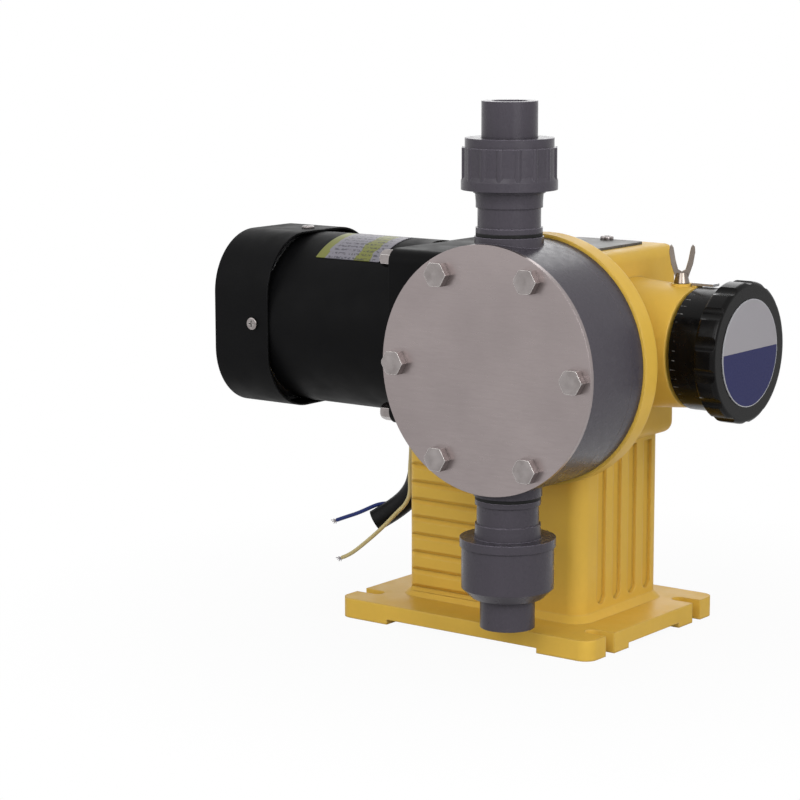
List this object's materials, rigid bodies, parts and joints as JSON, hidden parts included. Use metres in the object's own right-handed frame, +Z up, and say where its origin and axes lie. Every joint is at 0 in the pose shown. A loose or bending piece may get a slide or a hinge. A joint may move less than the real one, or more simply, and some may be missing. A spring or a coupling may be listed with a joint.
{
  "type": "diaphragm metering pump",
  "caption": "Mechanical diaphragm metering pump: motor, reduction gears, eccentric and stroke knob on a cast pedestal, with a plastic pump head and union valves.",
  "frame": {"origin": "middle of the base plate's underside, between the four foundation bolt slots", "axes": "+Z up, -Y towards the pump head's cover plate, +X towards the stroke knob, -X towards the motor's fan"},
  "size_m": [0.3526, 0.1883, 0.3153],
  "materials": {
    "yellow_paint": "satin enamel over cast aluminium",
    "black_paint": "satin black enamel",
    "polished_steel": "polished stainless sheet",
    "bolt_steel": "bright zinc-plated or stainless fasteners",
    "grey_pvc": "satin dark grey PVC",
    "black_knob": "moulded glossy black",
    "knob_face": "printed disc, light grey over navy, blank",
    "plate_foil": "printed foil, blank",
    "cover_grey": "grey enamel",
    "wing_metal": "plated pressed steel",
    "rubber": "matt",
    "ptfe": "white fluoropolymer",
    "shaft_steel": "ground",
    "gear_steel": "oiled",
    "spring_steel": "oiled",
    "bearing_steel": "bright",
    "bronze": "machined",
    "lamination": "stacked sheet",
    "copper_winding": "varnished copper wire",
    "motor_aluminium": "die-cast",
    "fan_plastic": "moulded",
    "ceramic": "white ceramic",
    "sight_glass": "clear",
    "plug_steel": "blackened steel",
    "cable_sheath": "smooth sheath",
    "blue_insulation": "satin",
    "yellow_insulation": "satin"
  },
  "bodies": {
    "pump_body": {"blue_core": "blue_insulation", "cable_gland": "fan_plastic", "cone_guide_pin": "shaft_steel", "cover_plate": "polished_steel", "cover_screws": "bolt_steel", "cowl_screws": "bolt_steel", "diaphragm": "ptfe", "discharge_cage": "ptfe", "discharge_union_tail": "grey_pvc", "discharge_valve_body": "grey_pvc", "fan_cowl": "black_paint", "gearbox_housing": "yellow_paint", "gearhead_bolts": "bolt_steel", "gearhead_case": "black_paint", "gearhead_cover": "black_paint", "head_bolts": "bolt_steel", "index_pointer": "motor_aluminium", "intermediate_ring": "grey_pvc", "motor_barrel": "black_paint", "motor_bearings": "bearing_steel", "motor_cable": "cable_sheath", "motor_end_shield": "motor_aluminium", "motor_nameplate": "plate_foil", "oil_drain_plug": "plug_steel", "oil_fill_plug": "plug_steel", "oil_sight_glass": "sight_glass", "pump_head": "grey_pvc", "rear_cover": "yellow_paint", "return_spring": "spring_steel", "rod_bush": "bronze", "shaft_bearings": "bearing_steel", "spindle_bush": "bronze", "stator_core": "lamination", "stator_winding": "copper_winding", "suction_cage": "ptfe", "suction_union_tail": "grey_pvc", "suction_valve_body": "grey_pvc", "top_cover": "cover_grey", "valve_orings": "rubber", "valve_seats": "ptfe", "yellow_core": "yellow_insulation"},
    "motor_rotor": {"motor_shaft": "shaft_steel", "rotor_core": "lamination", "cooling_fan": "fan_plastic"},
    "layshaft": {"layshaft_gears": "gear_steel"},
    "eccentric": {"eccentric_shaft": "shaft_steel", "eccentric_bearing": "bearing_steel", "output_gear": "gear_steel"},
    "rod": {"push_rod": "shaft_steel", "diaphragm_disc": "shaft_steel"},
    "knob": {"stroke_knob": "black_knob", "knob_label": "knob_face", "knob_pin": "shaft_steel", "stroke_spindle": "shaft_steel"},
    "cone": {"stop_cone": "gear_steel"},
    "lock_screw": {"wing_screw": "wing_metal"},
    "discharge_valve_ball": {"discharge_ball": "ceramic"},
    "suction_valve_ball": {"suction_ball": "ceramic"},
    "discharge_nut": {"discharge_union_nut": "grey_pvc"},
    "suction_nut": {"suction_union_nut": "grey_pvc"}
  },
  "joints": [
    {"name": "eccentric_turn", "type": "hinge", "parent": "pump_body", "child": "eccentric", "pos_m": [0.047, 0.008, 0.1695], "axis": [1, 0, 0], "continuous": true},
    {"name": "layshaft_turn", "type": "hinge", "parent": "pump_body", "child": "layshaft", "pos_m": [-0.045, 0.008, 0.1455], "axis": [1, 0, 0], "continuous": true},
    {"name": "motor_turn", "type": "hinge", "parent": "pump_body", "child": "motor_rotor", "pos_m": [-0.12, 0.008, 0.1695], "axis": [1, 0, 0], "continuous": true},
    {"name": "stroke_knob_turn", "type": "hinge", "parent": "pump_body", "child": "knob", "pos_m": [0.13, 0.008, 0.1725], "axis": [1, 0, 0], "range_deg": [0, 1440]},
    {"name": "stop_cone_slide", "type": "slide", "parent": "pump_body", "child": "cone", "axis": [1, 0, 0], "range_m": [0, 0.008]},
    {"name": "push_rod_slide", "type": "slide", "parent": "pump_body", "child": "rod", "axis": [0, 1, 0], "range_m": [0, 0.004], "deforming": ["return_spring", "diaphragm"]},
    {"name": "wing_screw_turn", "type": "hinge", "parent": "pump_body", "child": "lock_screw", "pos_m": [0.1, 0.008, 0.22], "axis": [0, 0, 1], "range_deg": [0, 360]},
    {"name": "discharge_ball_lift", "type": "slide", "parent": "pump_body", "child": "discharge_valve_ball", "axis": [0, 0, 1], "range_m": [0, 0.003]},
    {"name": "suction_ball_lift", "type": "slide", "parent": "pump_body", "child": "suction_valve_ball", "axis": [0, 0, 1], "range_m": [0, 0.003]},
    {"name": "discharge_nut_turn", "type": "hinge", "parent": "pump_body", "child": "discharge_nut", "pos_m": [0.047, -0.089, 0.28], "axis": [0, 0, 1], "range_deg": [0, 360]},
    {"name": "suction_nut_turn", "type": "hinge", "parent": "pump_body", "child": "suction_nut", "pos_m": [0.047, -0.089, 0.055], "axis": [0, 0, 1], "range_deg": [0, 360]}
  ],
  "couplings": [
    {"joint": "layshaft_turn", "follows": "eccentric_turn", "ratio": -3},
    {"joint": "motor_turn", "follows": "eccentric_turn", "ratio": 9},
    {"joint": "stop_cone_slide", "follows": "stroke_knob_turn", "m_per_rad": 0.00031831},
    {"joint": "push_rod_slide", "follows": "stroke_knob_turn", "m_per_rad": 0.00015915}
  ]
}
